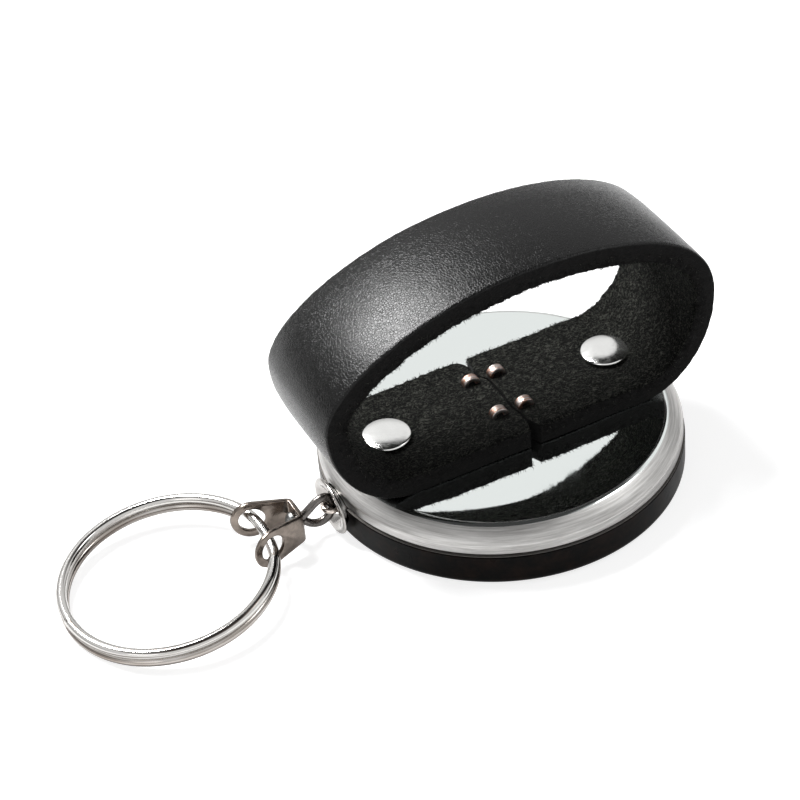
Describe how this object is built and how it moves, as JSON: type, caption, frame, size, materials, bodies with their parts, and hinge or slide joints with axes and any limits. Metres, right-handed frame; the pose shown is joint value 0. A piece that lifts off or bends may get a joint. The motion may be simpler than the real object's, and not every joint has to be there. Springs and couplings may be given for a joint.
{
  "type": "retractable key reel",
  "caption": "Round retractable key reel with a wide leather belt loop riveted to its back, a chain that leaves through an oval nozzle, a swivel clevis and a split ring.",
  "frame": {"origin": "centre of the front cover's flat outer face, on which the reel lies", "axes": "+Z along the case's axis from the cover to the belt loop; the chain leaves towards -X; a belt passes through the loop along Y"},
  "size_m": [0.0976, 0.0524, 0.0392],
  "materials": {
    "black_cover": "semi-gloss moulded black",
    "polished_shell": "mirror polished face with a brushed side band",
    "plain_steel": "plain cold-drawn steel",
    "spring_steel": "blued spring strip",
    "drum_plastic": "natural moulded acetal",
    "chain_nickel": "bright nickel plate",
    "dark_nickel": "dark nickel plate",
    "clevis_nickel": "nickel plate over pressed strip",
    "ring_nickel": "polished nickel plate",
    "leather": "black pebbled grain outside, flesh side inside",
    "rivet_nickel": "bright nickel plate",
    "staple_copper": "copper-coated steel wire"
  },
  "bodies": {
    "case": {"front_cover": "black_cover", "back_shell": "polished_shell", "centre_post": "plain_steel", "exit_nozzle": "ring_nickel", "thrust_washer": "plain_steel", "belt_loop": "leather", "rivet_cap_left": "rivet_nickel", "rivet_post_left": "plain_steel", "rivet_cap_right": "rivet_nickel", "rivet_post_right": "plain_steel", "staple_near": "staple_copper", "staple_far": "staple_copper"},
    "spool": {"spool_drum": "drum_plastic", "spool_cover": "plain_steel", "power_spring": "spring_steel", "chain_coil": "chain_nickel"},
    "chain_end": {"chain_link_inner": "chain_nickel", "chain_end_link": "chain_nickel"},
    "eye": {"swivel_eye": "dark_nickel"},
    "clevis": {"swivel_clevis": "clevis_nickel"},
    "ring": {"split_ring": "ring_nickel"}
  },
  "joints": [
    {"name": "chain_pull", "type": "slide", "parent": "case", "child": "chain_end", "axis": [-1, 0, 0], "range_m": [0, 0.6], "stiffness_N_per_m": 2, "springref_m": -1},
    {"name": "spool_turn", "type": "hinge", "parent": "case", "child": "spool", "pos_m": [0, 0, 0.004], "axis": [0, 0, 1], "range_deg": [0, 2175], "deforming": ["power_spring"]},
    {"name": "eye_swing", "type": "hinge", "parent": "chain_end", "child": "eye", "pos_m": [-0.0281, 0, 0.004], "axis": [0, 1, 0], "range_deg": [-20, 20]},
    {"name": "clevis_spin", "type": "hinge", "parent": "eye", "child": "clevis", "pos_m": [-0.03225, 0, 0.004], "axis": [1, 0, 0], "continuous": true},
    {"name": "ring_swing", "type": "hinge", "parent": "clevis", "child": "ring", "pos_m": [-0.0376, 0, 0.004], "axis": [0, 1, 0], "range_deg": [-80, 80]}
  ],
  "couplings": [
    {"joint": "spool_turn", "follows": "chain_pull", "rad_per_m": 63.09}
  ]
}
